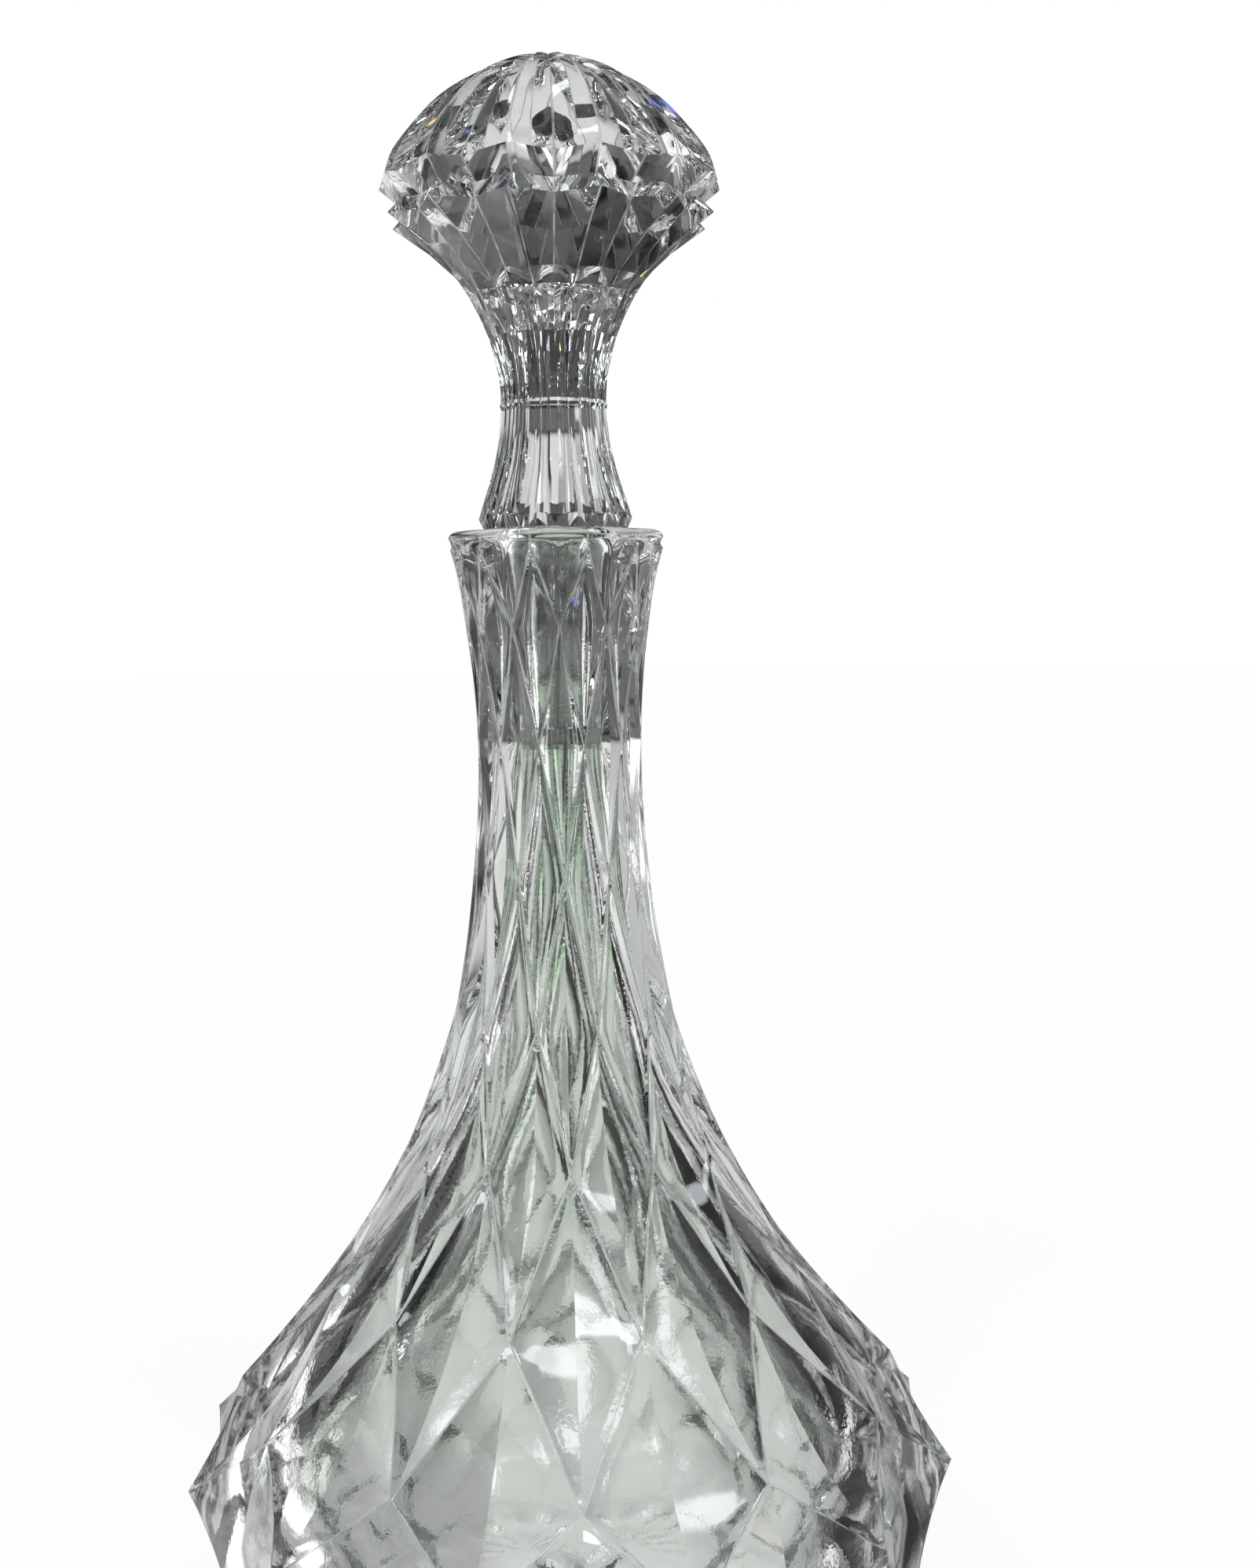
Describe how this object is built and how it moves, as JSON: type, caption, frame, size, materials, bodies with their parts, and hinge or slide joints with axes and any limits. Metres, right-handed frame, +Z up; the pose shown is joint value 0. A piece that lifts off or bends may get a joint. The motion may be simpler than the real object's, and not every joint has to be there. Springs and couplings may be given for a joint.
{
  "type": "crystal decanter",
  "caption": "Clear cut-crystal decanter with a diamond-cut conical body, slim neck and a fluted mushroom stopper on a tapered ground plug.",
  "frame": {"origin": "centre of the flat base, on the surface that the decanter stands on", "axes": "+Z up the axis of the bottle, neck and stopper; +Y towards the back, +X to the right; all round symmetric"},
  "size_m": [0.1348, 0.1348, 0.299],
  "materials": {
    "bottle_crystal": "polished cut crystal with a faint green-grey cast, inner wall slightly wavy",
    "stopper_crystal": "polished cut crystal, plug ground to a fine satin and oiled clear by use"
  },
  "bodies": {
    "bottle": {"decanter_body": "bottle_crystal"},
    "stopper_lift_off": {"stopper": "stopper_crystal"}
  },
  "joints": [
    {"name": "stopper_lift", "type": "slide", "parent": "bottle", "child": "stopper_lift_off", "axis": [0, 0, 1], "range_m": [0, 0.045]}
  ]
}
